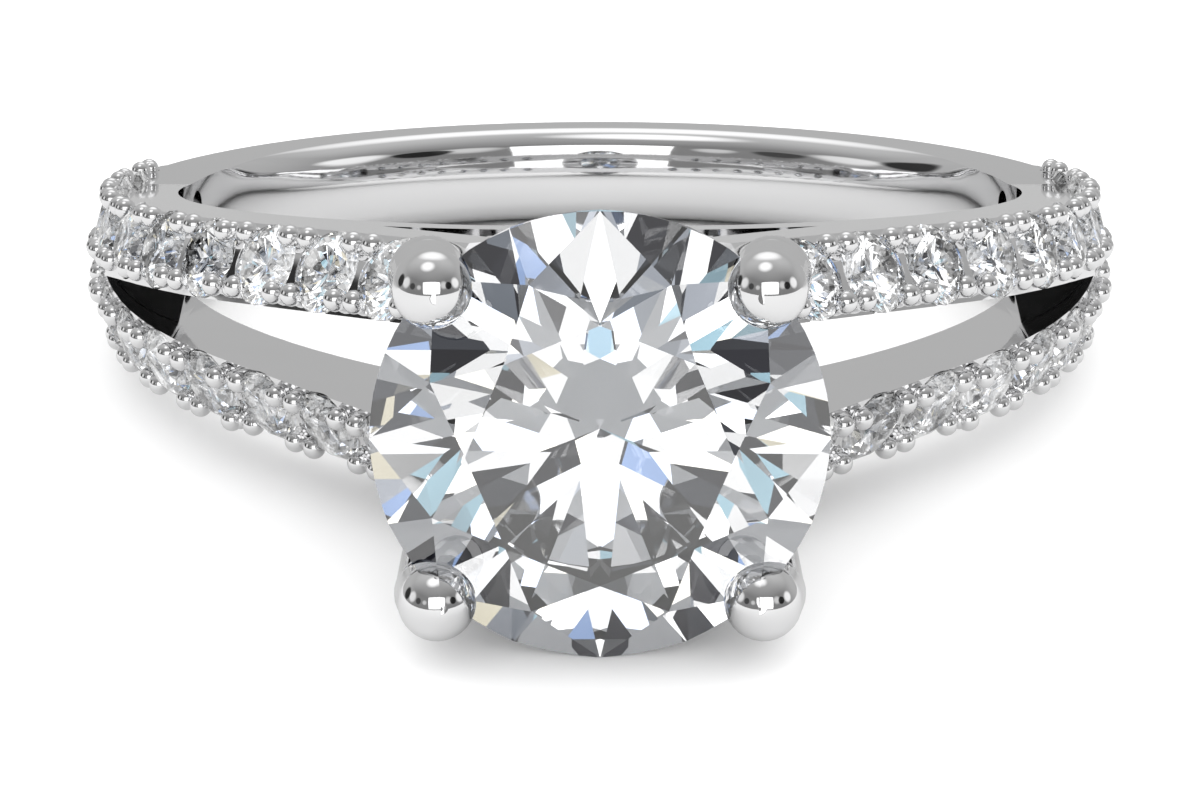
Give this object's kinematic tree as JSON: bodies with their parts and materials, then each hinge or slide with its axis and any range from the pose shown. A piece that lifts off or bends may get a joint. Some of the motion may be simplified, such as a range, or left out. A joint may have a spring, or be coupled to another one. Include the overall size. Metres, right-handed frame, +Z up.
{
  "type": "engagement ring mounting with set stones",
  "caption": "Polished white-metal ring with a split shank, a row of small round stones on each arm and a large round brilliant in a four-claw head, lying on its side.",
  "frame": {"origin": "middle of the ring's bounding box, on the floor that it rests on", "axes": "+Z up, +Y from the large stone towards the plain back of the band, +X to the right with the stone facing the viewer"},
  "size_m": [0.0204, 0.0267, 0.0068],
  "materials": {
    "metal": "high polish white gold",
    "stone": "cut and polished clear stone",
    "small_stone": "cut and polished clear stone"
  },
  "bodies": {
    "root": {"mounting": "metal", "centre_stone": "stone", "pave_stone_01": "small_stone", "pave_stone_02": "small_stone", "pave_stone_03": "small_stone", "pave_stone_04": "small_stone", "pave_stone_05": "small_stone", "pave_stone_06": "small_stone", "pave_stone_07": "small_stone", "pave_stone_08": "small_stone", "pave_stone_09": "small_stone", "pave_stone_10": "small_stone", "pave_stone_11": "small_stone", "pave_stone_12": "small_stone", "pave_stone_13": "small_stone", "pave_stone_14": "small_stone", "pave_stone_15": "small_stone", "pave_stone_16": "small_stone", "pave_stone_17": "small_stone", "pave_stone_18": "small_stone", "pave_stone_19": "small_stone", "pave_stone_20": "small_stone", "pave_stone_21": "small_stone", "pave_stone_22": "small_stone", "pave_stone_23": "small_stone", "pave_stone_24": "small_stone", "pave_stone_25": "small_stone", "pave_stone_26": "small_stone", "pave_stone_27": "small_stone", "pave_stone_28": "small_stone", "pave_stone_29": "small_stone", "pave_stone_30": "small_stone", "pave_stone_31": "small_stone", "pave_stone_32": "small_stone", "pave_stone_33": "small_stone", "pave_stone_34": "small_stone", "pave_stone_35": "small_stone", "pave_stone_36": "small_stone", "pave_stone_37": "small_stone", "pave_stone_38": "small_stone", "pave_stone_39": "small_stone", "pave_stone_40": "small_stone"}
  },
  "joints": []
}
